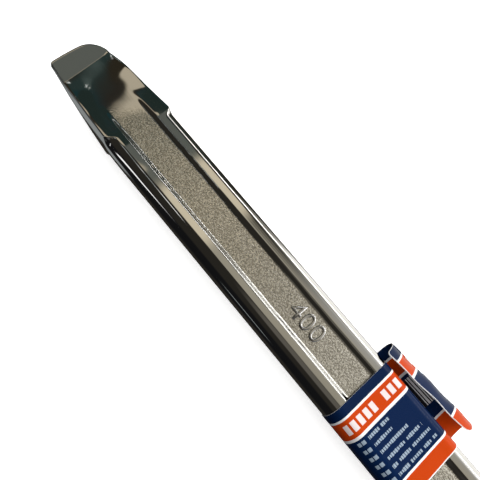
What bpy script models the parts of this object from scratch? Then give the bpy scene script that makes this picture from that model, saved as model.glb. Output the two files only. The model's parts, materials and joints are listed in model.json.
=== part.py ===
"""Tyre lever: one drop-forged, chrome-plated bar with a spoon blade at each end,
and a paper wrap label whose two ends are stuck together as a flag.

Frame: origin at the middle of the forging, on its parting plane. +X runs along the
lever towards the hooked blade, +Y across it, +Z out of the face. All sizes in metres.
"""

import math

import bmesh
import bpy
import numpy as np

MM = 0.001

# Driving dimensions of the forging
LENGTH = 406.4 * MM
WIDTH = 22.0 * MM
THICKNESS = 11.0 * MM
RECESS_DEPTH = 0.9 * MM
WEB_HALF_WIDTH = 4.2 * MM
RIB_INNER_EDGE = 5.9 * MM
RIB_OUTER_EDGE = 7.7 * MM
FLANK_POWER = 2.2

# The blade, measured back from its end
CORNER_BLEND = 11.0 * MM
BLADE_EDGE_WIDTH = 0.55 * MM
BLADE_BLEND_LEFT = (30.4 * MM, 32.6 * MM)
BLADE_BLEND_RIGHT = (32.6 * MM, 35.0 * MM)
END_BOW = 0.5 * MM
HOOK_CORNERS = (6.8 * MM, 1.2 * MM)
GRIP_CORNERS = (6.0 * MM, 6.0 * MM)

# The label
LABEL_START = 48.6 * MM
LABEL_END = 76.2 * MM
LABEL_GAP = 0.3 * MM
LABEL_THICKNESS = 0.3 * MM
FLAG_START = 47.2 * MM
FLAG_END = 77.6 * MM
FLAG_THICKNESS = 0.5 * MM
FLAG_HINGE = (-12.2 * MM, -4.9 * MM)
FLAG_CURL_HOOK_SIDE = ((-12.2, -4.9), (-20.0, -6.4), (-18.6, 1.6), (-11.9, 5.5))
FLAG_CURL_GRIP_SIDE = ((-12.2, -4.9), (-22.3, -6.0), (-22.0, -0.2), (-15.9, 2.4))

HALF_LENGTH = LENGTH / 2
HALF_WIDTH = WIDTH / 2
HALF_THICKNESS = THICKNESS / 2
SHARP_ANGLE = math.radians(35)
FLAG_ROWS = 9
CURL_POINTS = 15

# How a section of the blade changes with the distance from its end. Both are in
# millimetres, but for the rib and recess laws, which give shares of RECESS_DEPTH
WIDTH_LAW = ((0.0, 8.5), (12.0, 9.6), (22.0, 10.3), (33.0, 11.0))
LIP_LAW = ((0.0, 0.8), (62.0, 9.8))
SCOOP_LAW = ((0.0, 2.3), (6.2, 1.7), (12.0, 1.13), (20.0, 0.5), (26.0, 0.17), (32.0, 0.0))
DISH_LAW_LEFT = ((6.2, 0.0), (14.0, 0.6), (20.0, 0.4), (28.0, 0.3), (37.0, 0.26), (46.0, 0.0))
DISH_LAW_RIGHT = ((6.2, 0.0), (14.0, 0.6), (20.0, 0.3), (24.0, 0.0), (30.0, -0.12), (46.0, 0.0))
RIB_LAW_LEFT = ((22.0, 0.0), (36.0, 1.0))
RIB_LAW_RIGHT = ((22.5, 0.0), (33.0, 1.0))
UNDER_LAW = ((0.0, 2.2), (6.2, 0.4), (14.0, -1.5), (24.0, -3.9), (34.0, -5.3), (40.0, -5.5))
RECESS_LAW = ((46.0, 0.0), (52.0, 1.0))
PARTING_LAW = ((0.0, 2.8), (6.2, 1.3), (16.0, 0.4), (26.0, 0.0))

STATIONS_MM = (
    (0, 2, 4, 6.2, 7.8, 9.5, 12, 14, 17, 20, 22.5, 24, 26, 28)
    + (30.4, 32.6, 35, 37, 40, 43, 46, 49, 52, 62)
)
SHANK_STATIONS = 7
FLANK_STEPS = 6
WALL_SHARES = np.array([0.3, 0.7])
DISH_POWER = 2.5


def law(table, distance, unit=MM):
    """Straight-line interpolation of one of the blade's laws."""
    points = np.array(table)
    return np.interp(distance, points[:, 0] * MM, points[:, 1] * unit)


def rise(value, low, high):
    """0 up to low, 1 from high on, and a straight line between them."""
    return np.clip((value - low) / (high - low), 0, 1)


def quarter_profile():
    """One quarter of the shank's section: the distance out from the middle, how far up
    the rib each point stands, and how far it has dropped down the rounded flank."""
    web = np.linspace(0, WEB_HALF_WIDTH, 3)
    rib = np.linspace(RIB_INNER_EDGE, RIB_OUTER_EDGE, 3)
    wall = WALL_SHARES * (RIB_INNER_EDGE - WEB_HALF_WIDTH) + WEB_HALF_WIDTH
    angle = np.linspace(0, math.pi / 2, FLANK_STEPS + 1)[1:]
    flank_y = RIB_OUTER_EDGE + (HALF_WIDTH - RIB_OUTER_EDGE) * np.sin(angle) ** (2 / FLANK_POWER)
    out = np.concatenate([web, wall, rib, flank_y])
    up = np.concatenate([0 * web, WALL_SHARES**2 * (3 - 2 * WALL_SHARES), np.ones(rib.size + angle.size)])
    drop = np.concatenate([np.ones(out.size - angle.size), np.cos(angle) ** (2 / FLANK_POWER)])
    drop[-1] = 0.0
    return out, up, drop


def stations():
    """Places along X where the forging has a section, closer together in the blades."""
    near_end = HALF_LENGTH - np.array(STATIONS_MM) * MM
    shank = np.linspace(-near_end[-1], near_end[-1], SHANK_STATIONS)
    return np.concatenate([-near_end, shank[1:-1], near_end[::-1]])


def plan_setback(y, half_width, corners):
    """How far the blade's end edge lies behind its furthest point: a slight bow, and an
    arc at each corner."""
    radius = np.where(y < 0, corners[0], corners[1])
    over = np.clip(np.abs(y) - (half_width - radius), 0, radius)
    return END_BOW * (y / half_width) ** 2 + radius - np.sqrt(radius**2 - over**2)


def forging_sections():
    """Points of every section, from the outer edge at +Y over the face to the one at -Y
    and back along the underside: arrays of X, Y and Z by station and point."""
    out, up, drop = quarter_profile()
    side = np.concatenate([out[::-1], -out[1:]])
    up = np.concatenate([up[::-1], up[1:]])
    drop = np.concatenate([drop[::-1], drop[1:]])
    along = stations()[:, None]
    distance = HALF_LENGTH - np.abs(along)
    half_width = law(WIDTH_LAW, distance)
    blade = 1 - np.where(side > 0, rise(distance, *BLADE_BLEND_LEFT), rise(distance, *BLADE_BLEND_RIGHT))
    top_edge = RIB_OUTER_EDGE + blade * (half_width - BLADE_EDGE_WIDTH - RIB_OUTER_EDGE)
    inner = np.minimum(np.abs(side), RIB_INNER_EDGE)
    on_top = rise(np.abs(side), RIB_INNER_EDGE, RIB_OUTER_EDGE)
    outward = rise(np.abs(side), RIB_OUTER_EDGE, HALF_WIDTH)
    y = np.sign(side) * (inner + on_top * (top_edge - RIB_INNER_EDGE) + outward * (half_width - top_edge))
    toward_end = np.clip(1 - distance / CORNER_BLEND, 0, 1)
    hook = plan_setback(y, half_width, HOOK_CORNERS)
    grip = plan_setback(y, half_width, GRIP_CORNERS)
    x = along - np.sign(along) * toward_end * np.where(along > 0, hook, grip)
    distance = HALF_LENGTH - np.abs(x)
    parting = law(PARTING_LAW, distance)
    dish = np.where(y < 0, law(DISH_LAW_RIGHT, distance), law(DISH_LAW_LEFT, distance))
    dish = dish * np.clip(np.abs(y) / top_edge, 0, 1) ** DISH_POWER
    scoop = np.minimum(law(LIP_LAW, distance), law(SCOOP_LAW, distance))
    left = law(RIB_LAW_LEFT, distance, RECESS_DEPTH)
    right = law(RIB_LAW_RIGHT, distance, RECESS_DEPTH)
    rib = up * np.where(y < 0, right, left)
    face = HALF_THICKNESS - RECESS_DEPTH - scoop + rib + dish
    under = law(UNDER_LAW, distance) + (1 - up) * law(RECESS_LAW, distance, RECESS_DEPTH)
    top = parting + drop * (face - parting)
    bottom = parting + drop * (under - parting)
    loop_x = np.concatenate([x, x[:, -2:0:-1]], axis=1)
    loop_y = np.concatenate([y, y[:, -2:0:-1]], axis=1)
    loop_z = np.concatenate([top, bottom[:, -2:0:-1]], axis=1)
    return np.stack([loop_x, loop_y, loop_z], axis=2), side.size


def material(name, color, roughness, metallic):
    made = bpy.data.materials.new(name)
    made.use_nodes = True
    shader = made.node_tree.nodes["Principled BSDF"]
    shader.inputs["Base Color"].default_value = (*color, 1.0)
    shader.inputs["Roughness"].default_value = roughness
    shader.inputs["Metallic"].default_value = metallic
    return made


def add_object(name, mesh, collection, surface):
    made = bpy.data.objects.new(name, mesh)
    collection.objects.link(made)
    mesh.materials.append(surface)
    mesh.shade_smooth()
    mesh.set_sharp_from_angle(angle=SHARP_ANGLE)
    return made


def loft(sections):
    """A closed skin over rings of points: quads between neighbouring rings."""
    mesh = bmesh.new()
    rings = [[mesh.verts.new(point) for point in ring] for ring in sections]
    count = len(rings[0])
    for first, second in zip(rings, rings[1:]):
        for i in range(count):
            j = (i + 1) % count
            mesh.faces.new((first[i], first[j], second[j], second[i]))
    return mesh, rings


def finish_mesh(mesh, name):
    bmesh.ops.recalc_face_normals(mesh, faces=mesh.faces)
    made = bpy.data.meshes.new(name)
    mesh.to_mesh(made)
    mesh.free()
    return made


def make_forging(collection):
    """The lever itself: a loft between unlike sections, with each end edge closed by a
    strip of quads between its face and its underside."""
    sections, across = forging_sections()
    mesh, rings = loft(sections)
    for ring in (rings[0], rings[-1]):
        for i in range(across - 1):
            corners = [ring[i], ring[i + 1], ring[-i - 1], ring[-i]]
            mesh.faces.new(list(dict.fromkeys(corners)))
    chrome = material("chrome_plate", (0.55, 0.55, 0.56), 0.12, 1.0)
    return add_object("lever_forging", finish_mesh(mesh, "lever_forging"), collection, chrome)


def wrap_ring(x, clearance):
    """The shank's outline held clear by a distance, with the web recesses spanned."""
    out, up, drop = quarter_profile()
    keep = up == 1.0
    out = out[keep]
    drop = drop[keep]
    flank = (out - RIB_OUTER_EDGE).clip(0) / (HALF_WIDTH - RIB_OUTER_EDGE)
    y = out + clearance * flank
    z = drop * (HALF_THICKNESS + clearance)
    quarter = np.stack([np.full(y.shape, x), y, z], axis=1)[::-1]
    left = quarter * (1, -1, 1)
    top = np.concatenate([quarter, left[::-1]])
    under = (top * (1, 1, -1))[::-1]
    return np.concatenate([top, under[1:-1]])


def make_wrap(collection):
    """The label's loop round the shank: an inner and an outer skin joined at both ends."""
    rings = [
        wrap_ring(LABEL_START, LABEL_GAP),
        wrap_ring(LABEL_START, LABEL_GAP + LABEL_THICKNESS),
        wrap_ring(LABEL_END, LABEL_GAP + LABEL_THICKNESS),
        wrap_ring(LABEL_END, LABEL_GAP),
    ]
    mesh, made = loft(rings)
    count = len(made[0])
    for i in range(count):
        j = (i + 1) % count
        mesh.faces.new((made[-1][i], made[-1][j], made[0][j], made[0][i]))
    paper = material("label_paper_blue", (0.02, 0.07, 0.27), 0.35, 0.0)
    return add_object("label_wrap", finish_mesh(mesh, "label_wrap"), collection, paper)


def curl(controls, t):
    """A cubic Bezier curve in the YZ plane, in metres."""
    p = np.array(controls) * MM
    weights = np.array([(1 - t) ** 3, 3 * t * (1 - t) ** 2, 3 * t**2 * (1 - t), t**3])
    return weights.T @ p


def make_flag(collection):
    """The label's two ends, stuck back to back and curled up: one sheet between its two
    curled edges, thickened by Solidify. Its origin is on the crease."""
    across = np.linspace(0, 1, CURL_POINTS)
    along = np.linspace(0, 1, FLAG_ROWS)
    grip_edge = curl(FLAG_CURL_GRIP_SIDE, across)
    hook_edge = curl(FLAG_CURL_HOOK_SIDE, across)
    mesh = bmesh.new()
    rows = []
    for s in along:
        edge = grip_edge * (1 - s) + hook_edge * s - FLAG_HINGE
        x = (FLAG_END - FLAG_START) * s
        rows.append([mesh.verts.new((x, y, z)) for y, z in edge])
    for first, second in zip(rows, rows[1:]):
        for i in range(len(first) - 1):
            mesh.faces.new((first[i], first[i + 1], second[i + 1], second[i]))
    sheet = bpy.data.meshes.new("label_flag")
    mesh.to_mesh(sheet)
    mesh.free()
    paper = material("label_paper_orange", (0.75, 0.10, 0.02), 0.35, 0.0)
    flag = add_object("label_flag", sheet, collection, paper)
    flag.location = (FLAG_START, *FLAG_HINGE)
    solidify = flag.modifiers.new("thickness", "SOLIDIFY")
    solidify.thickness = FLAG_THICKNESS
    solidify.offset = 0.0
    return flag


def main():
    for old in list(bpy.data.objects):
        bpy.data.objects.remove(old, do_unlink=True)
    collection = bpy.data.collections.new("tyre_lever")
    bpy.context.scene.collection.children.link(collection)
    make_forging(collection)
    make_wrap(collection)
    make_flag(collection)


main()
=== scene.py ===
"""Looks for a forged, chrome-plated tyre lever with a paper wrap label.

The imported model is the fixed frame: its length is along X, its face looks up, and the
label's flag hangs on the -Y side. Sizes below are in metres unless a name says otherwise.
"""

import json
import math

import bmesh
import bpy
import numpy as np
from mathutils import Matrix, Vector


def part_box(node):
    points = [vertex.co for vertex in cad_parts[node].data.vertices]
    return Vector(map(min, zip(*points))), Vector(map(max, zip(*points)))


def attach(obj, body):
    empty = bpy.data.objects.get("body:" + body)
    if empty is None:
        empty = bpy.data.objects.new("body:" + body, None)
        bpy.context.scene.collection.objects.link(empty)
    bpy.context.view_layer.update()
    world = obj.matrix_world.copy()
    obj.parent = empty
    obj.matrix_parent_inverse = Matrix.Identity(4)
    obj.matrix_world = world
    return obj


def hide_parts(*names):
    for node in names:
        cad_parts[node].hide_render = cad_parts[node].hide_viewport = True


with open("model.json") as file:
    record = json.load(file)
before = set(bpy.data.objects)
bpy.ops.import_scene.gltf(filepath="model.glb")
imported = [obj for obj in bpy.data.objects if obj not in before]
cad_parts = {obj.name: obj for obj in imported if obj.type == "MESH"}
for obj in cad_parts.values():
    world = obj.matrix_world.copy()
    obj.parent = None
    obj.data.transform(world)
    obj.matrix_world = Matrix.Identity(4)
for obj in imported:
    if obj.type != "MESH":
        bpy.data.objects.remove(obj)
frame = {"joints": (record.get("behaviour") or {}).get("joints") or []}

bl_info = {
    "name": "Forged tyre lever",
    "version": (1, 0, 0),
    "blender": (4, 5, 0),
    "location": "3D View > Sidebar > Tyre Lever",
    "description": "Builds the forging, its raised size numerals, the wrap label and a studio",
    "category": "Add Mesh",
}

MM = 0.001
PER_METRE = 1000.0
WELD = 1e-6
WELD_PAPER = 2e-6

FORGING_LOW, FORGING_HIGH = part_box("lever_forging")
WRAP_LOW, WRAP_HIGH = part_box("label_wrap")
FLAG_LOW, FLAG_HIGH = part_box("label_flag")
FLAG_HINGE = frame["joints"][0]["pos_m"]


# ---------------------------------------------------------------- settings


class ForgingSettings(bpy.types.PropertyGroup):
    half_length: bpy.props.FloatProperty(
        name="Half length",
        description="From the middle of the lever to either end",
        default=FORGING_HIGH.x,
        unit="LENGTH",
    )
    half_width: bpy.props.FloatProperty(
        name="Half width",
        description="From the middle of the shank to its parting line",
        default=FORGING_HIGH.y,
        unit="LENGTH",
    )
    half_thickness: bpy.props.FloatProperty(
        name="Half thickness",
        description="From the parting plane to the flat top of a rib",
        default=5.5 * MM,
        unit="LENGTH",
    )
    recess_depth: bpy.props.FloatProperty(
        name="Recess depth",
        description="From the flat top of a rib down to the web floor",
        default=0.9 * MM,
        unit="LENGTH",
    )
    web_edge: bpy.props.FloatProperty(
        name="Web edge",
        description="Half the width of the flat web floor",
        default=4.2 * MM,
        unit="LENGTH",
    )
    rib_inner: bpy.props.FloatProperty(
        name="Rib inner edge",
        description="Where the wall of the recess meets the flat top of a rib",
        default=5.9 * MM,
        unit="LENGTH",
    )
    rib_outer: bpy.props.FloatProperty(
        name="Rib outer edge",
        description="Where the flat top of a rib rounds down to the flank",
        default=7.7 * MM,
        unit="LENGTH",
    )
    plate_color: bpy.props.FloatVectorProperty(
        name="Chrome",
        description="Reflectance of the chrome plate",
        default=(0.60, 0.60, 0.59),
        subtype="COLOR",
        size=3,
    )


class LabelSettings(bpy.types.PropertyGroup):
    navy: bpy.props.FloatVectorProperty(
        name="Navy",
        description="Edge band",
        default=(0.0, 0.0080, 0.038),
        subtype="COLOR",
        size=3,
    )
    blue: bpy.props.FloatVectorProperty(
        name="Blue",
        description="Text field",
        default=(0.0, 0.0095, 0.046),
        subtype="COLOR",
        size=3,
    )
    orange: bpy.props.FloatVectorProperty(
        name="Orange",
        description="Title band and last band",
        default=(0.44, 0.040, 0.001),
        subtype="COLOR",
        size=3,
    )
    paper: bpy.props.FloatVectorProperty(
        name="Paper",
        description="Bare paper and printed white",
        default=(0.70, 0.70, 0.71),
        subtype="COLOR",
        size=3,
    )
    thickness: bpy.props.FloatProperty(
        name="Paper thickness",
        description="One ply of the label",
        default=0.14 * MM,
        unit="LENGTH",
    )


class StageSettings(bpy.types.PropertyGroup):
    floor_color: bpy.props.FloatVectorProperty(
        name="Floor",
        description="Colour of the floor",
        default=(0.90, 0.90, 0.90),
        subtype="COLOR",
        size=3,
    )
    camera_place: bpy.props.FloatVectorProperty(
        name="Camera place",
        description="Where the camera stands: over the face, a little to the left flank",
        default=(0.1047, 0.0479, 0.1405),
        subtype="TRANSLATION",
        size=3,
    )
    camera_turn: bpy.props.FloatVectorProperty(
        name="Camera turn",
        description="The camera's XYZ rotation",
        default=(math.radians(19.205), math.radians(-9.671), math.radians(-130.342)),
        subtype="EULER",
        size=3,
    )
    focal_length: bpy.props.FloatProperty(
        name="Focal length",
        description="In millimetres on a 36 mm sensor",
        default=39.7,
    )


# ---------------------------------------------------------------- mesh tools


def grid_faces(rows, columns, closed):
    """Quads of a grid of points, by index; closed joins the last column to the first."""
    r = np.arange(rows - 1)[:, None]
    c = np.arange(columns if closed else columns - 1)[None, :]
    after = (c + 1) % columns
    corners = [r * columns + c, r * columns + after, (r + 1) * columns + after, (r + 1) * columns + c]
    return np.stack(np.broadcast_arrays(*corners), axis=-1).reshape(-1, 4)


def surface(name, points, closed=False, uv=None, attributes=None):
    """A mesh object from a grid of points (rows, columns, 3), with an optional UV grid in
    millimetres and optional named values per point."""
    rows, columns = points.shape[:2]
    faces = grid_faces(rows, columns, closed)
    mesh = bpy.data.meshes.new(name)
    mesh.vertices.add(rows * columns)
    mesh.vertices.foreach_set("co", points.astype(np.float32).ravel())
    mesh.loops.add(faces.size)
    mesh.loops.foreach_set("vertex_index", faces.astype(np.int32).ravel())
    mesh.polygons.add(len(faces))
    mesh.polygons.foreach_set("loop_start", np.arange(0, faces.size, 4, dtype=np.int32))
    mesh.update(calc_edges=True)
    if uv is not None:
        layer = mesh.uv_layers.new(name="sheet")
        layer.data.foreach_set("uv", uv.reshape(-1, 2)[faces.ravel()].astype(np.float32).ravel())
    for key, values in (attributes or {}).items():
        layer = mesh.attributes.new(key, "FLOAT", "POINT")
        layer.data.foreach_set("value", values.astype(np.float32).ravel())
    mesh.shade_smooth()
    made = bpy.data.objects.new(name, mesh)
    bpy.context.scene.collection.objects.link(made)
    return made


def close_seams(piece, distance, sharp_degrees=None):
    """Merges doubled points, fills what is still open, and turns every face outwards."""
    mesh = bmesh.new()
    mesh.from_mesh(piece.data)
    bmesh.ops.remove_doubles(mesh, verts=mesh.verts, dist=distance)
    open_edges = [edge for edge in mesh.edges if edge.is_boundary]
    if open_edges:
        bmesh.ops.holes_fill(mesh, edges=open_edges, sides=0)
    bmesh.ops.recalc_face_normals(mesh, faces=mesh.faces)
    mesh.to_mesh(piece.data)
    mesh.free()
    piece.data.shade_smooth()
    if sharp_degrees:
        piece.data.set_sharp_from_angle(angle=math.radians(sharp_degrees))


def smooth_step(value, low, high):
    """0 below low, 1 above high, and a smooth rise between them."""
    t = np.clip((value - low) / (high - low), 0, 1)
    return t * t * (3 - 2 * t)


def ripple(x, y, size, seed):
    """A smooth, fixed unevenness between about -1 and 1: a sum of sine waves that run in
    different directions, with wavelengths round size."""
    random = np.random.default_rng(seed)
    total = np.zeros(np.broadcast(x, y).shape)
    waves = 9
    for _ in range(waves):
        angle = random.uniform(0, math.tau)
        length = size * random.uniform(0.6, 1.7)
        phase = random.uniform(0, math.tau)
        total += np.sin((x * math.cos(angle) + y * math.sin(angle)) * math.tau / length + phase)
    return total / math.sqrt(waves)


# ---------------------------------------------------------------- shader tools


class Wire:
    """A node socket whose operators add Math nodes."""

    def __init__(self, tree, socket):
        self.tree = tree
        self.socket = socket

    def maths(self, operation, *others):
        inputs = {i: value for i, value in enumerate((self, *others))}
        return node(self.tree, "ShaderNodeMath", {"operation": operation}, inputs)

    def __add__(self, other):
        return self.maths("ADD", other)

    def __radd__(self, other):
        return self.maths("ADD", other)

    def __sub__(self, other):
        return self.maths("SUBTRACT", other)

    def __rsub__(self, other):
        return (self * -1).maths("ADD", other)

    def __mul__(self, other):
        return self.maths("MULTIPLY", other)

    def __rmul__(self, other):
        return self.maths("MULTIPLY", other)

    def __truediv__(self, other):
        return self.maths("DIVIDE", other)

    def __gt__(self, other):
        return self.maths("GREATER_THAN", other)

    def __lt__(self, other):
        return self.maths("LESS_THAN", other)

    def floor(self):
        return self.maths("FLOOR")

    def fraction(self):
        return self.maths("FRACT")

    def absolute(self):
        return self.maths("ABSOLUTE")

    def at_most(self, other):
        return self.maths("MINIMUM", other)

    def between(self, low, high):
        """1 inside the range and 0 outside it."""
        return (self > low) * (self < high)

    def ramp(self, low, high):
        """0 below low, 1 above high, and a smooth rise between them."""
        return node(
            self.tree,
            "ShaderNodeMapRange",
            {"interpolation_type": "SMOOTHSTEP"},
            {"Value": self, "From Min": low, "From Max": high},
        )


def node(tree, kind, settings=None, sockets=None, output=0):
    """Adds a node: its settings first, then the values or links of its sockets."""
    made = tree.nodes.new(kind)
    for key, value in (settings or {}).items():
        if key == "stops":
            set_stops(made.color_ramp, value)
        else:
            setattr(made, key, value)
    for key, value in (sockets or {}).items():
        target = made.inputs[key]
        if isinstance(value, Wire):
            tree.links.new(value.socket, target)
        else:
            target.default_value = value
    return Wire(tree, made.outputs[output])


def set_stops(color_ramp, stops):
    """Gives a colour ramp its stops: (place, grey or colour) pairs."""
    while len(color_ramp.elements) > 1:
        color_ramp.elements.remove(color_ramp.elements[-1])
    for i, (place, color) in enumerate(stops):
        element = color_ramp.elements[0] if i == 0 else color_ramp.elements.new(place)
        element.position = place
        element.color = (color, color, color, 1) if isinstance(color, (int, float)) else (*color, 1)


def mix_color(tree, factor, first, second):
    """first where factor is 0, second where it is 1; each a colour or a colour wire."""
    sockets = {0: factor}
    for index, value in ((6, first), (7, second)):
        sockets[index] = value if isinstance(value, Wire) else (*value, 1)
    return node(tree, "ShaderNodeMix", {"data_type": "RGBA"}, sockets, output=2)


def new_material(name):
    """A material with only its Principled shader, and the tree it stands in."""
    made = bpy.data.materials.new(name)
    made.use_nodes = True
    return made, made.node_tree, made.node_tree.nodes["Principled BSDF"]


def split(tree, vector):
    """The three parts of a vector wire."""
    made = tree.nodes.new("ShaderNodeSeparateXYZ")
    tree.links.new(vector.socket, made.inputs[0])
    return [Wire(tree, made.outputs[i]) for i in range(3)]


def noise(tree, vector, scale, detail=2.0, roughness=0.5, stretch=(1, 1, 1)):
    """Noise on a vector, with scale waves in each unit of it, stretched by a Mapping node."""
    mapped = node(tree, "ShaderNodeMapping", {}, {"Vector": vector, "Scale": stretch})
    sockets = {"Vector": mapped, "Scale": scale, "Detail": detail, "Roughness": roughness}
    return node(tree, "ShaderNodeTexNoise", {}, sockets)


def chance_at(tree, place):
    """A random value between 0 and 1 for each value of a wire."""
    return node(tree, "ShaderNodeTexWhiteNoise", {"noise_dimensions": "1D"}, {"W": place})


def bump(tree, height, distance, strength=1.0):
    """A normal tilted by the slope of a height, in units of distance."""
    sockets = {"Height": height, "Distance": distance, "Strength": strength}
    return node(tree, "ShaderNodeBump", {}, sockets)


# ---------------------------------------------------------------- the forging

# How a section of the blade changes with the distance from its end. Both are in
# millimetres, but for the rib and recess laws, which give shares of the recess depth
WIDTH_LAW = ((0.0, 8.5), (12.0, 9.6), (22.0, 10.3), (33.0, 11.0))
SCOOP_LAW = ((0.0, 2.3), (6.2, 1.7), (12.0, 1.13), (20.0, 0.5), (26.0, 0.17), (32.0, 0.0))
DISH_LAW_LEFT = ((6.2, 0.0), (14.0, 0.6), (20.0, 0.4), (28.0, 0.3), (37.0, 0.26), (46.0, 0.0))
DISH_LAW_RIGHT = ((6.2, 0.0), (14.0, 0.6), (20.0, 0.3), (24.0, 0.0), (30.0, -0.12), (46.0, 0.0))
RIB_LAW_LEFT = ((22.0, 0.0), (36.0, 1.0))
RIB_LAW_RIGHT = ((22.5, 0.0), (33.0, 1.0))
UNDER_LAW = ((0.0, 2.2), (6.2, 0.4), (14.0, -1.5), (24.0, -3.9), (34.0, -5.3), (40.0, -5.5))
RECESS_LAW = ((46.0, 0.0), (52.0, 1.0))
PARTING_LAW = ((0.0, 2.8), (6.2, 1.3), (16.0, 0.4), (26.0, 0.0))

# The plan of the blades: the arcs at their corners are given as left, right
CORNER_BLEND = 11.0 * MM
END_BOW = 0.5 * MM
HOOK_CORNERS = (6.8 * MM, 1.2 * MM)
GRIP_CORNERS = (6.0 * MM, 6.0 * MM)
BLADE_EDGE_WIDTH = 0.55 * MM
BLADE_BLEND_LEFT = (30.4 * MM, 32.6 * MM)
BLADE_BLEND_RIGHT = (32.6 * MM, 35.0 * MM)
FLANK_POWER = 2.2
EDGE_RADIUS = 0.45 * MM

# The lip is a flat ground across each end, and the hooked one's crease runs askew
LIP_DEPTH = 1.05 * MM
LIP_SLOPE = 0.105
CREASE_SKEW = 2.1 * MM
SKEW_FADE = (10 * MM, 30 * MM)
DISH_POWER = 2.5

# Distances between the stations along the blades, and where the spacing changes
LIP_START = 0.9 * MM
CREASE_START = 5.6 * MM
CREASE_END = 8.8 * MM
BLADE_START = 9.0 * MM
BLADE_END = 64 * MM
BLADE_STEP = 0.55 * MM
CREASE_STEP = 0.10 * MM
SHANK_STEP = 1.8 * MM

# Where shot has left its grain: the half width of each web, and its ragged start
SHOT_EDGE = (4.0 * MM, 4.8 * MM)
SHOT_START = 25.0 * MM
SHOT_SLANT = 3.0 * MM
SHOT_RAGGED = 1.0 * MM
SHOT_FADE = (-1 * MM, 9 * MM)
UNDER_SHOT_EDGE = (4.2 * MM, 5.3 * MM)
UNDER_SHOT_START = (46 * MM, 54 * MM)
WEB_SWELL = (6 * MM, 0.014 * MM)
WEB_DIMPLES = (2 * MM, 0.006 * MM)
WALL_WOBBLE = (3.5 * MM, 0.06 * MM)
WOBBLE_START = (30 * MM, 36 * MM)


def law(table, distance, soften, unit=MM):
    """A blade law: straight lines between its points, averaged over a window of width
    soften twice, so that its corners become curves."""
    points = np.array(table)
    offsets = np.linspace(-0.5, 0.5, 9) * soften
    places = distance[..., None, None] + offsets[:, None] + offsets[None, :]
    return np.interp(np.abs(places), points[:, 0] * MM, points[:, 1] * unit).mean(axis=(-1, -2))


def half_ring(settings):
    """Half of the shank's upper outline, from the middle of the web to the parting line:
    distance out, share of the rib's height (a smooth step across the recess wall), and
    share of the drop down the flank (a superellipse)."""
    web = np.linspace(0, settings.web_edge, 12)[:-1]
    wall = np.linspace(settings.web_edge, settings.rib_inner, 13)[:-1]
    top = np.linspace(settings.rib_inner, settings.rib_outer, 7)[:-1]
    angle = np.linspace(0, math.pi / 2, 19)
    reach = settings.half_width - settings.rib_outer
    flank = settings.rib_outer + reach * np.sin(angle) ** (2 / FLANK_POWER)
    out = np.concatenate([web, wall, top, flank])
    up = smooth_step(out, settings.web_edge, settings.rib_inner)
    drop = np.concatenate([np.ones(len(out) - len(angle)), np.cos(angle) ** (2 / FLANK_POWER)])
    drop[-1] = 0
    return out, up, drop


def upper_ring(settings):
    """The whole upper outline from the left parting line to the right one: place to the
    side, share of the rib's height, and share of the flank's drop."""
    out, up, drop = half_ring(settings)
    side = np.concatenate([out[::-1], -out[1:]])
    return side, np.concatenate([up[::-1], up[1:]]), np.concatenate([drop[::-1], drop[1:]])


def stations(settings):
    """Places along X: wide apart along the shank, closer in the blades, and crowded at
    the crease and at the end edges, which are round."""
    edge = EDGE_RADIUS * (1 - np.cos(np.linspace(0, math.pi / 2, 6)))
    lip = np.arange(LIP_START, CREASE_START, BLADE_STEP)
    crease = np.arange(CREASE_START, CREASE_END, CREASE_STEP)
    blade = np.arange(BLADE_START, BLADE_END, BLADE_STEP)
    near_end = settings.half_length - np.concatenate([edge, lip, crease, blade])
    shank = np.arange(-near_end[-1], near_end[-1], SHANK_STEP)
    return np.concatenate([-near_end, shank[1:-1], near_end[::-1]])


def setback(y, half_width, corners):
    """How far the blade's end edge lies behind its furthest point: a slight bow, and an
    arc at each corner."""
    radius = np.where(y < 0, corners[0], corners[1])
    over = np.clip(np.abs(y) - (half_width - radius), 0, radius)
    return END_BOW * (y / half_width) ** 2 + radius - np.sqrt(radius**2 - over**2)


def plan_view(settings, along, side):
    """X and Y of every point, the half width and the half width of the flat top. Outside
    the ribs' inner edges the flat top stretches with the blade's width, the flank keeps
    its shape, and X is set back from the end by the plan outline."""
    reach = settings.half_length - np.abs(along)
    half_width = law(WIDTH_LAW, reach, 4 * MM)
    left = smooth_step(reach, *BLADE_BLEND_LEFT)
    right = smooth_step(reach, *BLADE_BLEND_RIGHT)
    blade = 1 - np.where(side > 0, left, right)
    top_edge = settings.rib_outer + blade * (half_width - BLADE_EDGE_WIDTH - settings.rib_outer)
    out = np.abs(side)
    inner = np.minimum(out, settings.rib_inner)
    on_top = np.clip((out - settings.rib_inner) / (settings.rib_outer - settings.rib_inner), 0, 1)
    on_flank = np.clip(out - settings.rib_outer, 0, None) / (settings.half_width - settings.rib_outer)
    stretched = inner + on_top * (top_edge - settings.rib_inner)
    y = np.sign(side) * (stretched + on_flank * (half_width - top_edge))
    toward_end = np.clip(1 - reach / CORNER_BLEND, 0, 1)
    hook = setback(y, half_width, HOOK_CORNERS)
    grip = setback(y, half_width, GRIP_CORNERS)
    x = along - np.sign(along) * toward_end * np.where(along > 0, hook, grip)
    return x, y, half_width, top_edge


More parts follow.
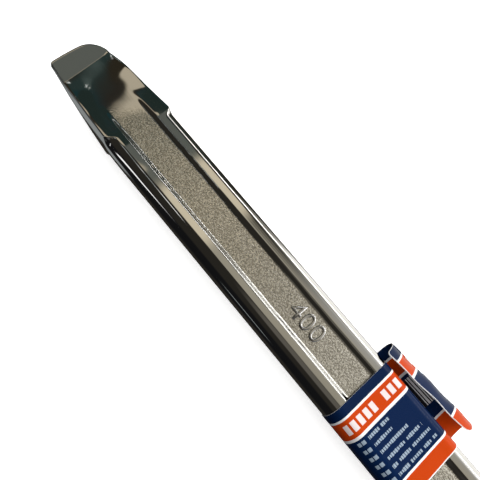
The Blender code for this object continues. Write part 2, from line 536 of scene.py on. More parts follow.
def face_height(settings, x, y, up, half_width, top_edge):
    """Z of the face: the web floor, less the lip or the scoop, whichever is the
    shallower, plus the rib and the dish, which rises as a power of the way out."""
    distance = settings.half_length - np.abs(x)
    skew = np.where(x > 0, CREASE_SKEW * (1 + y / half_width) / 2, 0)
    behind = distance - skew * (1 - smooth_step(distance, *SKEW_FADE))
    lip = LIP_DEPTH + LIP_SLOPE * behind
    behind = np.maximum(behind, 0)
    scoop = np.minimum(lip, law(SCOOP_LAW, behind, 3 * MM))
    right_dish = law(DISH_LAW_RIGHT, behind, 2 * MM)
    dish = np.where(y < 0, right_dish, law(DISH_LAW_LEFT, behind, 2 * MM))
    dish = dish * np.clip(np.abs(y) / top_edge, 0, 1) ** DISH_POWER
    right_rib = law(RIB_LAW_RIGHT, distance, 1.6 * MM, settings.recess_depth)
    rib = np.where(y < 0, right_rib, law(RIB_LAW_LEFT, distance, 1.6 * MM, settings.recess_depth))
    return settings.half_thickness - settings.recess_depth - scoop + up * rib + dish


def shot_shares(settings, distance, x, y, side):
    """How much of shot's grain the face and the back show: all of it on the webs, none on
    the ribs and blades, with a slanting, ragged start on the face."""
    slant = np.clip(y / settings.web_edge, -1, 1)
    start = SHOT_START - SHOT_SLANT * slant + SHOT_RAGGED * ripple(x * 0, y, 9 * MM, 3)
    begun = smooth_step(distance, start + SHOT_FADE[0], start + SHOT_FADE[1])
    face = (1 - smooth_step(np.abs(side), *SHOT_EDGE)) * begun
    begun = smooth_step(distance, *UNDER_SHOT_START)
    back = (1 - smooth_step(np.abs(side), *UNDER_SHOT_EDGE)) * begun
    return face, back


def forging_surface(settings):
    """The whole skin as rings of points, each the upper outline and then the lower one.
    Z is the parting line's, plus the flank's drop times the face's or the underside's
    height above it. Returns the points and the share of shot's grain."""
    side, up, drop = upper_ring(settings)
    along = stations(settings)[:, None]
    x, y, half_width, top_edge = plan_view(settings, along, side)
    distance = settings.half_length - np.abs(x)
    parting = law(PARTING_LAW, distance, 2 * MM)
    face = face_height(settings, x, y, up, half_width, top_edge)
    recess = law(RECESS_LAW, distance, 4 * MM, settings.recess_depth)
    under = law(UNDER_LAW, distance, 4 * MM) + (1 - up) * recess
    from_edge = np.clip((settings.half_length - np.abs(along)) / EDGE_RADIUS, 0, 1)
    rounded = np.sqrt(np.clip(1 - (1 - from_edge) ** 2, 0, 1))
    face_shot, back_shot = shot_shares(settings, distance, x, y, side)
    swell = ripple(x, y, WEB_SWELL[0], 11) * WEB_SWELL[1]
    dimples = ripple(x, y, WEB_DIMPLES[0], 12) * WEB_DIMPLES[1]
    wall = up * (1 - up) * 4 * smooth_step(distance, *WOBBLE_START)
    wobble = ripple(x, y * 0, WALL_WOBBLE[0], 13) * WALL_WOBBLE[1] * wall
    top = parting + drop * (face - parting) * rounded + face_shot * (swell + dimples) + wobble
    bottom = parting + drop * (under - parting) * rounded - back_shot * (swell + dimples) + wobble
    halves = ((x, x), (y, y), (top, bottom), (face_shot, back_shot))
    joined = [np.concatenate([upper, lower[:, -2:0:-1]], axis=1) for upper, lower in halves]
    return np.stack(joined[:3], axis=2), joined[3]


# Reflectance of shot's grain: painted shade in its hollows, painted light on its peaks
SHADED_HOLLOWS = (0.50, 0.48, 0.43)
LIT_PEAKS = (0.90, 0.88, 0.82)


def chrome_material(settings):
    """Bright plate over a forging: mirror-like ribs and blades with faint lengthwise
    polishing lines, and web floors with the grain that shot leaves under the plate, painted darker in the
    grain's hollows as shade and lighter on its peaks."""
    made, tree, shader = new_material("chrome_plate")
    place = node(tree, "ShaderNodeTexCoord", {}, {}, output=3)
    shot = node(tree, "ShaderNodeAttribute", {"attribute_name": "shot"}, {}, output=2)
    grain = noise(tree, place, 4200.0, detail=2.0, roughness=0.6)
    pebbles = noise(tree, place, 2000.0, detail=1.0)
    lines = noise(tree, place, 1.0, detail=2.0, stretch=(60, 2600, 2600))
    smears = noise(tree, place, 110.0, detail=3.0, stretch=(0.35, 1, 1))
    ripples = noise(tree, place, 130.0, detail=1.0, stretch=(0.5, 1, 1))
    clean = 1 - shot
    microns = (grain * 0.6 + pebbles) * shot * 42.0 + (lines * 2.0 + ripples * 2.5) * clean
    tree.links.new(bump(tree, microns, 1e-6).socket, shader.inputs["Normal"])
    bright = 0.045 + smears.ramp(0.45, 0.75) * 0.05
    roughness = bright * clean + (0.20 + grain * 0.1) * shot
    tree.links.new(roughness.socket, shader.inputs["Roughness"])
    # The colour follows the grain's bump height: painted shade in the hollows, painted light on the peaks
    lump_shade = (grain * 0.5 + pebbles * 0.5).ramp(0.42, 0.58)
    grain_with_painted_shade = mix_color(tree, lump_shade, SHADED_HOLLOWS, LIT_PEAKS)
    plate = mix_color(tree, shot, tuple(settings.plate_color), grain_with_painted_shade)
    tree.links.new(plate.socket, shader.inputs["Base Color"])
    shader.inputs["Metallic"].default_value = 1.0
    return made


class LEVER_OT_forging(bpy.types.Operator):
    """Builds the chrome-plated forging with its two blades"""

    bl_idname = "lever.forging"
    bl_label = "Forging"

    def execute(self, context):
        settings = context.scene.lever_forging
        points, shot = forging_surface(settings)
        piece = surface("forged_lever", points, closed=True, attributes={"shot": shot})
        close_seams(piece, WELD)
        piece.data.materials.append(chrome_material(settings))
        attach(piece, "lever")
        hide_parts("lever_forging")
        return {"FINISHED"}


# ---------------------------------------------------------------- raised numerals

NUMERAL_HEIGHT = 5.3 * MM
NUMERAL_BASE = 2.3 * MM
NUMERAL_START = 103.4 * MM
CAPITAL_SHARE = 0.7
NUMERAL_SHARP = 60


def outline_text(name, body, height):
    """The solid of a short number in the built-in font, as a mesh with rounded edges. Its
    outline is drawn in by as much as the bevel swells it, less a little."""
    curve = bpy.data.curves.new(name, "FONT")
    curve.body = body
    curve.size = height / CAPITAL_SHARE
    curve.space_character = 1.04
    curve.offset = -0.036 * height
    curve.extrude = 0.05 * MM
    curve.bevel_depth = 0.28 * MM
    curve.bevel_resolution = 3
    curve.resolution_u = 12
    made = bpy.data.objects.new(name, curve)
    bpy.context.scene.collection.objects.link(made)
    bpy.context.view_layer.update()
    mesh = bpy.data.meshes.new_from_object(made.evaluated_get(bpy.context.evaluated_depsgraph_get()))
    bpy.data.objects.remove(made)
    return mesh


class LEVER_OT_numerals(bpy.types.Operator):
    """Raises the length in plain numerals on the web floor"""

    bl_idname = "lever.numerals"
    bl_label = "Numerals"

    def execute(self, context):
        settings = context.scene.lever_forging
        mesh = outline_text("length_numerals", "400", NUMERAL_HEIGHT)
        co = np.zeros(len(mesh.vertices) * 3, np.float32)
        mesh.vertices.foreach_get("co", co)
        co = co.reshape(-1, 3)
        left = co[:, 0].min()
        bottom = co[:, 1].min()
        placed = np.stack(
            [
                NUMERAL_START - (co[:, 0] - left),
                NUMERAL_BASE - (co[:, 1] - bottom),
                settings.half_thickness - settings.recess_depth + co[:, 2],
            ],
            axis=1,
        )
        mesh.vertices.foreach_set("co", placed.astype(np.float32).ravel())
        mesh.update()
        piece = bpy.data.objects.new("length_numerals", mesh)
        bpy.context.scene.collection.objects.link(piece)
        close_seams(piece, WELD, sharp_degrees=NUMERAL_SHARP)
        mesh.materials.clear()
        mesh.materials.append(bpy.data.materials["chrome_plate"])
        layer = mesh.attributes.new("shot", "FLOAT", "POINT")
        layer.data.foreach_set("value", np.zeros(len(mesh.vertices), np.float32))
        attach(piece, "lever")
        return {"FINISHED"}


# ---------------------------------------------------------------- the label

# Bands of the print, in millimetres from the edge nearest the hooked blade
NAVY_END = 2.55
ORANGE_START = 3.15
ORANGE_END = 8.15
FIELD_START = 8.95
FIELD_END = 22.75
LAST_BAND = 23.35
PRINT_END = 27.3

# The blocks that stand in for lettering, in millimetres along and round the label
ROW_START = 10.2
ROW_PITCH = 2.25
ROWS = 6
ROW_ENDS = (0.0, 0.9, -2.8, -6.0, -6.9, -7.2)
ROW_RANGE = 10.0
WORD_START = 7.4
WORD_PITCH = 0.72
WORD_HEIGHT = 0.85
CODE_PLACE = (8.6, 11.4)
CODE_PITCH = 1.45
CODE_HALF_HEIGHT = 0.52
TITLE_PITCH = 2.35
TITLE_RANGE = (-9.4, 11.75)
TITLE_HALF_HEIGHT = 1.35
BAR_PITCH = 0.33
ROW_INK = (0.42, 0.52, 0.62)
BAR_INK = (0.01, 0.01, 0.012)


def blocks(tree, along, across, pitch, height, seed):
    """Plain blocks in place of lettering: cells of one pitch along a row, each filled for
    a random share of its width, some left out as word gaps and some a little taller."""
    cell = (along / pitch).floor()
    chance = chance_at(tree, cell + seed)
    filled = (along / pitch).fraction() < 0.62 + chance * 0.2
    tall = height * 0.5 * (0.75 + chance * 0.4)
    return filled * (across.absolute() < tall) * (chance > 0.10)


def title_mask(u, v):
    """Upright blocks across the first orange band, with one left out as a word gap."""
    cell = (v / TITLE_PITCH).floor()
    filled = (v / TITLE_PITCH).fraction().between(0.14, 0.80)
    across = (u - (ORANGE_START + ORANGE_END) / 2).absolute()
    return filled * (across < TITLE_HALF_HEIGHT) * v.between(*TITLE_RANGE) * ((cell + 1).absolute() > 0.5)


def rows_mask(tree, u, v):
    """Rows of small blocks in the blue field, each row ending at its own place, with a
    pair of larger blocks before it."""
    row = ((u - ROW_START) / ROW_PITCH + 0.5).floor()
    across = u - (row * ROW_PITCH + ROW_START)
    stops = [(i / ROWS, (end + ROW_RANGE) / (2 * ROW_RANGE)) for i, end in enumerate(ROW_ENDS)]
    ramp = node(tree, "ShaderNodeValToRGB", {"stops": stops}, {"Fac": row / ROWS + 0.5 / ROWS})
    ramp.socket.node.color_ramp.interpolation = "CONSTANT"
    row_end = ramp * (2 * ROW_RANGE) - ROW_RANGE
    words = blocks(tree, v, across, WORD_PITCH, WORD_HEIGHT, row * 37.0) * (v > row_end) * (v < WORD_START)
    code = v.between(*CODE_PLACE) * ((v - CODE_PLACE[0]) / CODE_PITCH).fraction().between(0.0, 0.78)
    code = code * (across.absolute() < CODE_HALF_HEIGHT)
    return (words + code).at_most(1) * row.between(-0.5, ROWS - 0.5)


def label_material(name, settings, inside=False):
    """Glossy printed paper: navy, orange and blue bands between white rules, worn to bare
    paper at its cut edges, with soft creases. The inside of the flag has a barred panel in
    place of the title and the rows."""
    made, tree, shader = new_material(name)
    paper = tuple(settings.paper)
    place = node(tree, "ShaderNodeUVMap", {"uv_map": "sheet"}, {})
    u, v, _ = split(tree, place)
    wander = noise(tree, place, 0.35, detail=1.0)
    u = u + (wander - 0.5) * 0.12
    orange = (u.between(ORANGE_START, ORANGE_END) + u.between(LAST_BAND, PRINT_END)).at_most(1)
    rules = u.between(NAVY_END, ORANGE_START) + u.between(ORANGE_END, FIELD_START)
    rules = (rules + u.between(FIELD_END, LAST_BAND) + (u > PRINT_END)).at_most(1)
    field = u.between(FIELD_START, FIELD_END)
    panel = u.between(FIELD_START + 1, FIELD_END - 3.5)
    mottle = noise(tree, place, 6.0, detail=3.0)
    color = mix_color(tree, field, tuple(settings.navy), tuple(settings.blue))
    color = mix_color(tree, orange, color, tuple(settings.orange))
    color = mix_color(tree, mottle.ramp(0.35, 0.8) * 0.012, color, paper)
    title = panel if inside else title_mask(u, v)
    color = mix_color(tree, (rules + title * 0.8).at_most(1), color, paper)
    if inside:
        bars = chance_at(tree, (v / BAR_PITCH).floor()) > 0.55
        color = mix_color(tree, panel * bars, color, BAR_INK)
    else:
        color = mix_color(tree, rows_mask(tree, u, v) * (0.35 + mottle * 0.5), color, ROW_INK)
    edge = node(tree, "ShaderNodeAttribute", {"attribute_name": "cut_edge"}, {}, output=2)
    scuff = noise(tree, place, 2.2, detail=4.0, roughness=0.7)
    color = mix_color(tree, (edge + (scuff - 0.5) * 0.4).ramp(0.55, 0.85), color, paper)
    tree.links.new(color.socket, shader.inputs["Base Color"])
    rub = noise(tree, place, 0.8, detail=2.0)
    tree.links.new((0.10 + rub * 0.14).socket, shader.inputs["Roughness"])
    creases = noise(tree, place, 0.30, detail=2.0, stretch=(1, 0.5, 1))
    fibre = noise(tree, place, 9.0, detail=2.0)
    height = creases * 0.10 + fibre * 0.0012
    tree.links.new(bump(tree, height, 0.001, 0.8).socket, shader.inputs["Normal"])
    shader.inputs["Specular IOR Level"].default_value = 0.03
    shader.inputs["Coat Weight"].default_value = 0.16
    shader.inputs["Coat Roughness"].default_value = 0.03
    return made


WRAP_CLEARANCE = 0.08 * MM
SHEET_SAG = 0.10 * MM
SAG_EDGE = 2.5 * MM
CUT_WIDTH = 0.10 * MM
SHARP_DEGREES = 50

# Places along the sheet, as shares of its width from the grip edge, crowded at the edges
GRIP_HALF = (0.5, 0.35, 0.2, 0.1, 0.03, 0.012, 0.007, 0.003, 0)
HOOK_HALF = (1, 0.997, 0.993, 0.988, 0.97, 0.9, 0.8, 0.65)


def arc_lengths(y, z):
    """The length along an outline up to each of its points."""
    return np.concatenate([[0], np.cumsum(np.hypot(np.diff(y), np.diff(z)))])


def shank_ring(settings, clearance):
    """The shank's section at a clearance, with the recesses spanned, as a closed ring of
    points from the right parting line over the face. Returns Y and Z."""
    angle = np.linspace(0, math.pi / 2, 26)
    reach = settings.half_width - settings.rib_outer + clearance
    height = settings.half_thickness + clearance
    flank_y = settings.rib_outer + reach * np.sin(angle) ** (2 / FLANK_POWER)
    flank_z = height * np.cos(angle) ** (2 / FLANK_POWER)
    top_y = np.linspace(0, settings.rib_outer, 25)[:-1]
    quarter_y = np.concatenate([top_y, flank_y])
    quarter_z = np.concatenate([np.full(top_y.shape, height), flank_z])
    over_y = np.concatenate([-quarter_y[::-1], quarter_y[1:]])
    over_z = np.concatenate([quarter_z[::-1], quarter_z[1:]])
    return np.concatenate([over_y, over_y[-2:0:-1]]), np.concatenate([over_z, -over_z[-2:0:-1]])


def wrap_outline(settings, clearance):
    """The outline of a sheet pulled tight round the shank and drawn out to the crease:
    the convex hull of the shank's ring and the crease. The sides of the ring that face
    the crease are left out, and straight leads join the rest to it. Points are in order,
    from the crease round over the face. Returns Y and Z."""
    ring_y, ring_z = shank_ring(settings, clearance)
    crease_y, crease_z = FLAG_HINGE[1], FLAG_HINGE[2]
    step_y = np.roll(ring_y, -1) - ring_y
    step_z = np.roll(ring_z, -1) - ring_z
    hidden = np.flatnonzero(step_y * (crease_z - ring_z) - step_z * (crease_y - ring_y) > 0)
    middle = len(ring_y) // 2
    before = hidden[hidden > middle].min() if (hidden > middle).any() else 0
    after = hidden[hidden < middle].max() + 1 if (hidden < middle).any() else 0
    kept_y = ring_y[after : before + 1]
    kept_z = ring_z[after : before + 1]
    share = np.linspace(0, 1, 9)[1:]
    lead_y = crease_y + (kept_y[0] - crease_y) * share[:-1]
    lead_z = crease_z + (kept_z[0] - crease_z) * share[:-1]
    tail_y = kept_y[-1] + (crease_y - kept_y[-1]) * share
    tail_z = kept_z[-1] + (crease_z - kept_z[-1]) * share
    y = np.concatenate([[crease_y], lead_y, kept_y, tail_y])
    z = np.concatenate([[crease_z], lead_z, kept_z, tail_z])
    return y, z


def wrap_path(rim):
    """One turn round the sheet's cross-section along the lever, as X and the share of the
    way from the inner skin to the outer one: along the inside from the hook edge, round
    the grip edge's half circle, back along the outside and round the hook edge's."""
    inside = np.array(HOOK_HALF + GRIP_HALF)
    bend = np.linspace(0, math.pi, 5)[1:-1]
    start_x = WRAP_LOW.x + rim
    end_x = WRAP_HIGH.x - rim
    inner_x = start_x + (end_x - start_x) * inside
    x = [inner_x, start_x - rim * np.sin(bend), inner_x[::-1], end_x + rim * np.sin(bend)]
    share = [inside * 0, 0.5 - 0.5 * np.cos(bend), inside * 0 + 1, 0.5 + 0.5 * np.cos(bend)]
    return np.concatenate(x), np.concatenate(share)


def wrap_surface(forging, settings):
    """The loop's skin as rings of points round the paper's thickness, one ring for each
    point of the outline, with the paper sagging a little over the recesses. Returns the
    points, the print's places and the cut edge's shares."""
    inner_y, inner_z = wrap_outline(forging, WRAP_CLEARANCE)
    outer_y, outer_z = wrap_outline(forging, WRAP_CLEARANCE + settings.thickness)
    arc = arc_lengths(outer_y, outer_z)
    inner_arc = arc_lengths(inner_y, inner_z)
    inner_y = np.interp(arc / arc[-1], inner_arc / inner_arc[-1], inner_y)
    inner_z = np.interp(arc / arc[-1], inner_arc / inner_arc[-1], inner_z)
    path_x, outward = wrap_path(settings.thickness * 0.5)
    y = inner_y[:, None] * (1 - outward) + outer_y[:, None] * outward
    z = inner_z[:, None] * (1 - outward) + outer_z[:, None] * outward
    x = np.broadcast_to(path_x, y.shape)
    flat = smooth_step(forging.rib_outer - np.abs(y), 0, SAG_EDGE)
    z = z - SHEET_SAG * flat * (0.6 + 0.4 * ripple(x, y, 14 * MM, 21)) * np.sign(z)
    over_face = len(outer_y) // 2
    v = (arc - np.interp(0, outer_y[:over_face], arc[:over_face])) * PER_METRE
    uv = np.stack([(WRAP_HIGH.x - x) * PER_METRE, np.broadcast_to(v[:, None], x.shape)], axis=2)
    from_edge = np.minimum(WRAP_HIGH.x - x, x - WRAP_LOW.x)
    cut = np.maximum(1 - smooth_step(from_edge, 0, CUT_WIDTH), 1 - outward)
    return np.stack([x, y, z], axis=2), uv, cut


class LEVER_OT_wrap(bpy.types.Operator):
    """Wraps the printed label round the shank"""

    bl_idname = "lever.wrap"
    bl_label = "Label wrap"

    def execute(self, context):
        settings = context.scene.lever_label
        points, uv, cut = wrap_surface(context.scene.lever_forging, settings)
        piece = surface("wrap_label", points, closed=True, uv=uv, attributes={"cut_edge": cut})
        close_seams(piece, WELD_PAPER, sharp_degrees=SHARP_DEGREES)
        piece.data.materials.append(label_material("printed_paper", settings))
        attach(piece, "lever")
        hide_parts("label_wrap")
        return {"FINISHED"}


# The flag's curled edges in the YZ plane, in millimetres, from the crease to the free edge
CURL_HOOK_SIDE = ((-12.2, -4.9), (-20.0, -6.4), (-18.6, 1.6), (-11.9, 5.5))
CURL_GRIP_SIDE = ((-12.2, -4.9), (-22.3, -6.0), (-22.0, -0.2), (-15.9, 2.4))
FLAG_CORNERS = (0.9 * MM, 2.6 * MM)
FLAG_REACH = 19.0 * MM
FLAG_COLUMNS = 61
FLAG_ROWS = 45
FLAG_WAVE = (13 * MM, 0.18 * MM)
FLAG_CUT = (0.05 * MM, 0.30 * MM)

# The print on the flag starts past the hook edge, and its last band is drawn out, both in
# millimetres along it
PRINT_LEAD = 0.7
LAST_BAND_DRAWN = 29.7
LAST_BAND_PRINTED = 27.2


def curl(controls, t):
    """A cubic Bezier curve in the YZ plane, in metres, and its unit normal."""
    p = np.array(controls) * MM
    weights = np.array([(1 - t) ** 3, 3 * t * (1 - t) ** 2, 3 * t**2 * (1 - t), t**3])
    slopes = np.array([-3 * (1 - t) ** 2, 3 * (1 - t) * (1 - 3 * t), 3 * t * (2 - 3 * t), 3 * t**2])
    line = np.moveaxis(weights, 0, -1) @ p
    slope = np.moveaxis(slopes, 0, -1) @ p
    normal = np.stack([slope[..., 1], -slope[..., 0]], axis=-1)
    return line, normal / np.linalg.norm(normal, axis=-1, keepdims=True)


def flag_columns(length):
    """Places along the flag as shares of its length from the grip end, crowded at both
    ends, and how far each column reaches: all the way, less an arc at each corner."""
    s = np.linspace(0, 1, FLAG_COLUMNS)
    s = np.concatenate([[0, 0.001, 0.003, 0.006], s[1:-1], [0.994, 0.997, 0.999, 1]])
    reach = np.ones(len(s))
    for from_end, radius in ((s * length, FLAG_CORNERS[1]), ((1 - s) * length, FLAG_CORNERS[0])):
        over = np.clip(radius - from_end, 0, radius)
        reach -= (radius - np.sqrt(radius**2 - over**2)) / FLAG_REACH
    return s, reach


def flag_middle(s, t, x):
    """The flag's middle surface and its normal in the YZ plane: a blend of the two curled
    edges, with a wave that grows from the crease."""
    grip_line, grip_normal = curl(CURL_GRIP_SIDE, t)
    hook_line, hook_normal = curl(CURL_HOOK_SIDE, t)
    blend = s[:, None, None]
    middle = grip_line * (1 - blend) + hook_line * blend
    normal = grip_normal * (1 - blend) + hook_normal * blend
    normal /= np.linalg.norm(normal, axis=-1, keepdims=True)
    unevenness = ripple(x, middle[..., 1] * 2, FLAG_WAVE[0], 31)
    wave = FLAG_WAVE[1] * unevenness * smooth_step(t, 0, 0.5)
    return middle + normal * wave[..., None], normal


def flag_surface(settings):
    """The flag's skin as rings of points, one for each column: along the outside from the
    crease to the free edge and back along the inside. The two lie half the doubled
    paper's thickness from the middle, less at the ends, which are half circles. Returns
    the points, the print's places and the cut edge's shares."""
    length = FLAG_HIGH.x - FLAG_LOW.x
    s, reach = flag_columns(length)
    t = np.linspace(0, 1, FLAG_ROWS)[None, :] * reach[:, None]
    x = FLAG_LOW.x + length * np.broadcast_to(s[:, None], t.shape)
    middle, normal = flag_middle(s, t, x)
    from_side = np.minimum(x - FLAG_LOW.x, FLAG_HIGH.x - x)
    full = np.clip(from_side / settings.thickness, 0, 1)
    half = settings.thickness * np.sqrt(1 - (1 - full) ** 2)[..., None]
    outside = middle - normal * half
    inside = middle + normal * half
    drawn = (-PRINT_LEAD, LAST_BAND, LAST_BAND_DRAWN)
    printed = (-PRINT_LEAD, LAST_BAND, LAST_BAND_PRINTED)
    u = np.interp((FLAG_HIGH.x - x) * PER_METRE - PRINT_LEAD, drawn, printed)
    steps = arc_lengths(*middle[len(s) // 2].T)
    v = np.broadcast_to((steps * PER_METRE)[None, :], t.shape)
    from_edge = np.minimum(from_side, (reach[:, None] - t) * FLAG_REACH)
    cut = 1 - smooth_step(from_edge, *FLAG_CUT)
    skin = np.concatenate([outside, inside[:, ::-1]], axis=1)
    x, u, v, cut = [np.concatenate([a, a[:, ::-1]], axis=1) for a in (x, u, v, cut)]
    return np.concatenate([x[..., None], skin], axis=2), np.stack([u, v], axis=2), cut


class LEVER_OT_flag(bpy.types.Operator):
    """Curls up the label's two ends, stuck back to back"""

    bl_idname = "lever.flag"
    bl_label = "Label flag"

    def execute(self, context):
        settings = context.scene.lever_label
        points, uv, cut = flag_surface(settings)
        piece = surface("label_flag_sheet", points, closed=True, uv=uv, attributes={"cut_edge": cut})
        bands, ring = points.shape[0] - 1, points.shape[1]
        within = np.tile(np.arange(ring) >= FLAG_ROWS, bands).astype(np.int32)
        piece.data.materials.append(bpy.data.materials["printed_paper"])
        piece.data.materials.append(label_material("printed_paper_inside", settings, inside=True))
        piece.data.polygons.foreach_set("material_index", within)
        close_seams(piece, WELD_PAPER, sharp_degrees=SHARP_DEGREES)
        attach(piece, "flag")
        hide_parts("label_flag")
        return {"FINISHED"}


# ---------------------------------------------------------------- the stage


# The room that the chrome reflects, as rounded rectangles on a disc of directions: the
# zenith is the middle, the horizon a circle of radius 1, and what is lower lies outside
# it. Each has a centre, two half widths, a turn in degrees, the softness of its edge and
# a colour, and later ones cover earlier ones.
ROOM_COLOR = (0.030, 0.027, 0.022)
ROOM_PATCHES = (
    ("far_wall", (-1.75, 0.3), (1.25, 1.6), 0, 0.25, (0.42, 0.42, 0.42)),
    ("floor_left", (0.1, 2.4), (2.0, 1.45), 0, 0.10, (0.010, 0.010, 0.011)),
    ("wall_right", (-0.30, -1.10), (0.47, 0.91), 0, 0.05, (0.36, 0.34, 0.30)),
    ("window", (-0.52, -1.07), (0.60, 0.845), 0, 0.05, (1.45, 1.42, 1.35)),
    ("shelf", (-0.10, -0.155), (0.262, 0.040), 0, 0.25, (0.47, 0.43, 0.34)),
    ("shelf_end", (0.130, -0.175), (0.038, 0.065), 0, 0.30, (0.90, 0.79, 0.59)),
    ("shelf_edge", (-0.13, -0.225), (0.13, 0.032), 0, 0.40, (0.62, 0.60, 0.56)),
    ("low_shelf", (-0.07, 0.12), (0.095, 0.22), 0, 0.30, (0.150, 0.137, 0.115)),
    ("door", (0.66, -0.60), (0.47, 0.40), 0, 0.05, (0.050, 0.058, 0.050)),
    ("doorway", (0.46, -0.03), (0.18, 0.12), 0, 0.30, (0.034, 0.028, 0.018)),
    ("curtain", (0.46, -0.29), (0.19, 0.11), 0, 0.20, (0.016, 0.044, 0.048)),
    ("screen", (0.43, -0.175), (0.06, 0.03), 0, 0.5, (0.030, 0.050, 0.047)),
    ("screen_glow", (0.398, -0.170), (0.008, 0.014), 0, 0.9, (0.09, 0.12, 0.11)),
    ("beige_panel", (0.293, -0.105), (0.044, 0.115), -25, 0.22, (0.64, 0.56, 0.42)),
    ("panel_foot", (0.31, -0.245), (0.135, 0.052), 0, 0.06, (0.022, 0.036, 0.032)),
    ("grey_panel", (0.205, -0.160), (0.038, 0.075), 0, 0.2, (0.150, 0.160, 0.142)),
    ("lamp", (0.145, 0.09), (0.018, 0.030), 0, 0.4, (1.4, 1.4, 1.35)),
    ("lamp_shade", (0.215, 0.07), (0.050, 0.020), 0, 0.4, (0.75, 0.82, 0.82)),
    ("tube", (-0.15, -0.45), (0.42, 0.018), 0, 0.3, (10.0, 10.0, 9.7)),
    ("low_window", (0.55, 1.29), (0.27, 0.040), 40, 0.3, (1.7, 1.7, 1.7)),
    ("low_wall", (2.5, 1.6), (0.80, 0.90), 0, 0.1, (0.32, 0.34, 0.34)),
    ("low_corner", (1.10, 0.95), (0.30, 0.30), 0, 0.2, (0.22, 0.23, 0.23)),
    ("low_streak", (0.10, 2.03), (0.16, 0.10), 0, 0.3, (0.33, 0.37, 0.37)),
    ("bulb_1", (0.4010, -0.1785), (0.0022, 0.0040), 0, 0.5, (1.3, 1.35, 1.3)),
    ("bulb_2", (0.3885, -0.183), (0.0020, 0.0045), 0, 0.5, (0.7, 0.75, 0.7)),
    ("bulb_3", (0.452, -0.147), (0.0045, 0.0045), 0, 0.5, (1.3, 1.35, 1.3)),
    ("bulb_4", (0.441, -0.137), (0.0035, 0.0035), 0, 0.5, (0.7, 0.7, 0.7)),
)


NADIR_GUARD = 1.001


def studio_world(scene):
    """A dim room with a bright window on the right and a dark left half. A direction's
    place on the disc is (x, y) / (1 + z), and a rounded rectangle's distance is the fourth
    root of the sum of the fourth powers of its two coordinates."""
    world = bpy.data.worlds.new("studio")
    world.use_nodes = True
    tree = world.node_tree
    direction = node(tree, "ShaderNodeTexCoord", {}, {}, output=0)
    x, y, z = split(tree, direction)
    x = x / (NADIR_GUARD + z)
    y = y / (NADIR_GUARD + z)
    color = ROOM_COLOR
    for _, centre, radii, turn, softness, patch in ROOM_PATCHES:
        cosine = math.cos(math.radians(turn))
        sine = math.sin(math.radians(turn))
        across = ((x - centre[0]) * cosine + (y - centre[1]) * sine) / radii[0]
        along = ((y - centre[1]) * cosine - (x - centre[0]) * sine) / radii[1]
        across = across * across
        along = along * along
        distance = (across * across + along * along).maths("POWER", 0.25)
        mask = 1 - distance.ramp(1 - softness, 1 + softness)
        color = mix_color(tree, mask, color, patch)
    tree.links.new(color.socket, tree.nodes["Background"].inputs["Color"])
    scene.world = world


# The lever is held clear of the floor, so that the flag has room to fold down
FLOOR_LEVEL = FLAG_HINGE[2] - 8.0 * MM
FLOOR_REACH = 6.0
FLOOR_GLOW = 0.5
LIT_PLACE = (0.08, 0, 0)
LIGHTS = (
    ("soft_box_over", (0.10, 0.0, 1.3), (2.4, 2.4), 34.0),
    ("soft_box_right", (0.05, -0.9, 0.6), (1.2, 0.8), 5.0),
)


def area_light(name, place, size, watts):
    """A soft box aimed at the label that lights the paper and floor but isn't mirrored in
    the chrome."""
    light = bpy.data.lights.new(name, "AREA")
    light.shape = "RECTANGLE"
    light.size, light.size_y = size
    light.energy = watts
    made = bpy.data.objects.new(name, light)
    made.location = place
    made.rotation_euler = (Vector(LIT_PLACE) - Vector(place)).to_track_quat("-Z", "Y").to_euler()
    made.visible_glossy = False
    bpy.context.scene.collection.objects.link(made)


def pale_floor(settings):
    """A plain sheet under the lever that glows a little, so that shadows stay pale."""
    ends = [-FLOOR_REACH, FLOOR_REACH]
    corners = np.stack(np.meshgrid(ends, ends, indexing="ij"), axis=-1)
    floor = surface("floor", np.concatenate([corners, np.full((2, 2, 1), FLOOR_LEVEL)], axis=2))
    made, tree, shader = new_material("pale_floor")
    place = node(tree, "ShaderNodeTexCoord", {}, {}, output=3)
    pale = tuple(settings.floor_color)
    tone = mix_color(tree, noise(tree, place, 900.0), tuple(0.985 * c for c in pale), pale)
    tree.links.new(tone.socket, shader.inputs["Base Color"])
    shader.inputs["Roughness"].default_value = 0.9
    shader.inputs["Specular IOR Level"].default_value = 0.1
    shader.inputs["Emission Color"].default_value = (1, 1, 1, 1)
    shader.inputs["Emission Strength"].default_value = FLOOR_GLOW
    floor.data.materials.append(made)
    return floor


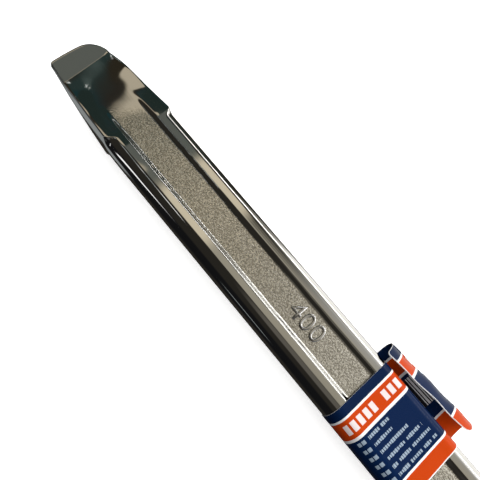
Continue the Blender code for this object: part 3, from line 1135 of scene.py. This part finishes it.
def stage_camera(settings):
    """The scene's camera, over the face."""
    data = bpy.data.cameras.new("camera")
    data.lens = settings.focal_length
    data.clip_start = 5 * MM
    camera = bpy.data.objects.new("camera", data)
    camera.location = settings.camera_place
    camera.rotation_euler = settings.camera_turn
    bpy.context.scene.collection.objects.link(camera)
    return camera


class LEVER_OT_stage(bpy.types.Operator):
    """Sets up the pale floor, the room that the chrome reflects, the lights and the camera"""

    bl_idname = "lever.stage"
    bl_label = "Stage"

    def execute(self, context):
        scene = context.scene
        settings = scene.lever_stage
        scene.view_settings.view_transform = "Standard"
        floor = pale_floor(settings)
        floor.visible_glossy = False
        floor.visible_diffuse = False
        studio_world(scene)
        for light in LIGHTS:
            area_light(*light)
        scene.camera = stage_camera(settings)
        return {"FINISHED"}


# ---------------------------------------------------------------- add-on


class LEVER_PT_panel(bpy.types.Panel):
    """Lists the pieces of the lever"""

    bl_idname = "LEVER_PT_panel"
    bl_label = "Tyre Lever"
    bl_space_type = "VIEW_3D"
    bl_region_type = "UI"
    bl_category = "Tyre Lever"

    def draw(self, context):
        for operator in OPERATORS:
            self.layout.operator(operator.bl_idname)
        for name in ("plate_color", "half_length", "half_width"):
            self.layout.prop(context.scene.lever_forging, name)
        for name in ("navy", "blue", "orange", "paper"):
            self.layout.prop(context.scene.lever_label, name)
        self.layout.prop(context.scene.lever_stage, "floor_color")


OPERATORS = (LEVER_OT_forging, LEVER_OT_numerals, LEVER_OT_wrap, LEVER_OT_flag, LEVER_OT_stage)
SETTINGS = {
    "lever_forging": ForgingSettings,
    "lever_label": LabelSettings,
    "lever_stage": StageSettings,
}


def register():
    for made in (*SETTINGS.values(), *OPERATORS, LEVER_PT_panel):
        bpy.utils.register_class(made)
    for name, made in SETTINGS.items():
        setattr(bpy.types.Scene, name, bpy.props.PointerProperty(type=made))


def unregister():
    for name in SETTINGS:
        delattr(bpy.types.Scene, name)
    for made in (LEVER_PT_panel, *reversed(OPERATORS), *reversed(tuple(SETTINGS.values()))):
        bpy.utils.unregister_class(made)


def main():
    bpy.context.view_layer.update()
    register()
    bpy.ops.lever.forging()
    bpy.ops.lever.numerals()
    bpy.ops.lever.wrap()
    bpy.ops.lever.flag()
    bpy.ops.lever.stage()


if __name__ == "__main__":
    main()
